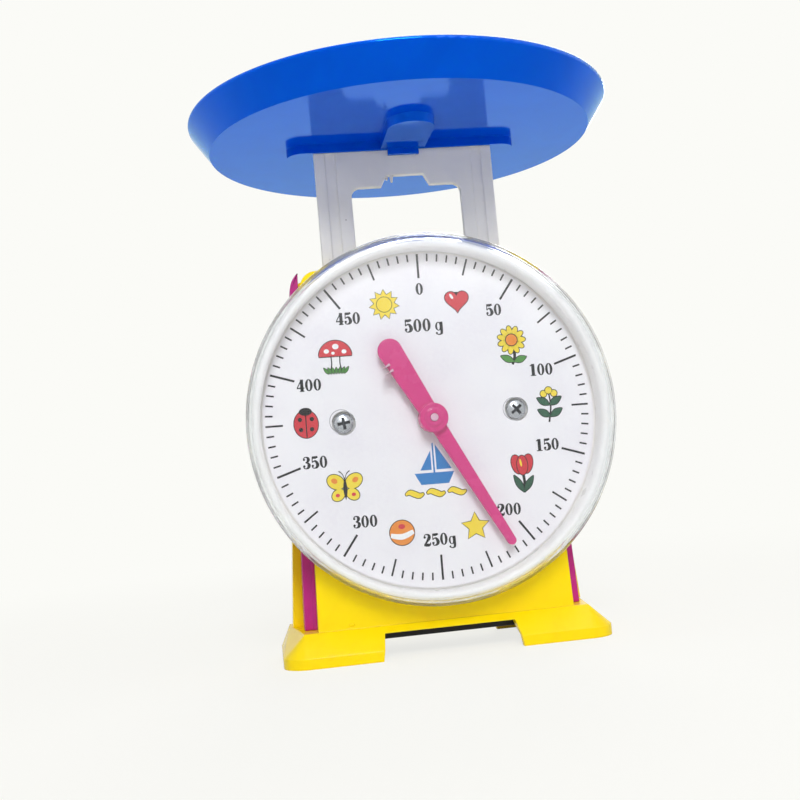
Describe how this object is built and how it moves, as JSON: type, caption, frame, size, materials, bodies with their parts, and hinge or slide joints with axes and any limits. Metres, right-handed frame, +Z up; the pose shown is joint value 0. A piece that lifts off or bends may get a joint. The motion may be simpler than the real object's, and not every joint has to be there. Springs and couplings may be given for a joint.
{
  "type": "toy dial scale",
  "caption": "Toy dial scale: a round tray on a sprung bracket slides down and turns a pointer over a numbered dial by a rack and pinion, in a case with a flared base.",
  "frame": {"origin": "on the floor, under the centre of the tray", "axes": "+Z up, -Y to the front where the dial faces, +X to the right of someone reading the dial"},
  "size_m": [0.1224, 0.1224, 0.1552],
  "materials": {
    "yellow_abs": "glossy injection-moulded ABS",
    "magenta_abs": "glossy injection-moulded ABS",
    "blue_pp": "glossy injection-moulded polypropylene",
    "white_pp": "waxy injection-moulded polypropylene",
    "pink_ps": "glossy injection-moulded polystyrene",
    "black_pp": "matte moulded polypropylene",
    "clear_ps": "clear polished polystyrene",
    "printed_card": "printed satin card",
    "acetal": "moulded acetal",
    "zinc_steel": "zinc-plated steel",
    "spring_steel": "drawn spring wire"
  },
  "bodies": {
    "case": {"front_shell": "yellow_abs", "rear_cover": "yellow_abs", "left_side_panel": "magenta_abs", "right_side_panel": "magenta_abs", "bottom_cover": "black_pp", "dial_dish": "white_pp", "dial_card": "printed_card", "lens": "clear_ps", "shaft_bush": "acetal", "gear_bridge": "acetal", "dial_screws": "zinc_steel", "bridge_screws": "zinc_steel", "cover_screws": "zinc_steel", "bottom_screws": "zinc_steel", "return_spring": "spring_steel"},
    "carriage": {"tray": "blue_pp", "tray_bracket": "white_pp", "crosshead": "white_pp", "rack": "acetal", "arm_screws": "zinc_steel"},
    "pointer": {"pointer": "pink_ps", "pointer_shaft": "acetal", "pinion": "acetal", "shaft_clip": "zinc_steel"}
  },
  "joints": [
    {"name": "tray_slide", "type": "slide", "parent": "case", "child": "carriage", "axis": [0, 0, -1], "range_m": [-0.00849, 0.01162], "stiffness_N_per_m": 244, "springref_m": -0.00143, "deforming": ["return_spring"]},
    {"name": "pointer_spin", "type": "hinge", "parent": "case", "child": "pointer", "pos_m": [0, 0, 0.0645], "axis": [0, 1, 0], "range_deg": [-152, 208]}
  ],
  "couplings": [
    {"joint": "pointer_spin", "follows": "tray_slide", "rad_per_m": 312.5}
  ]
}
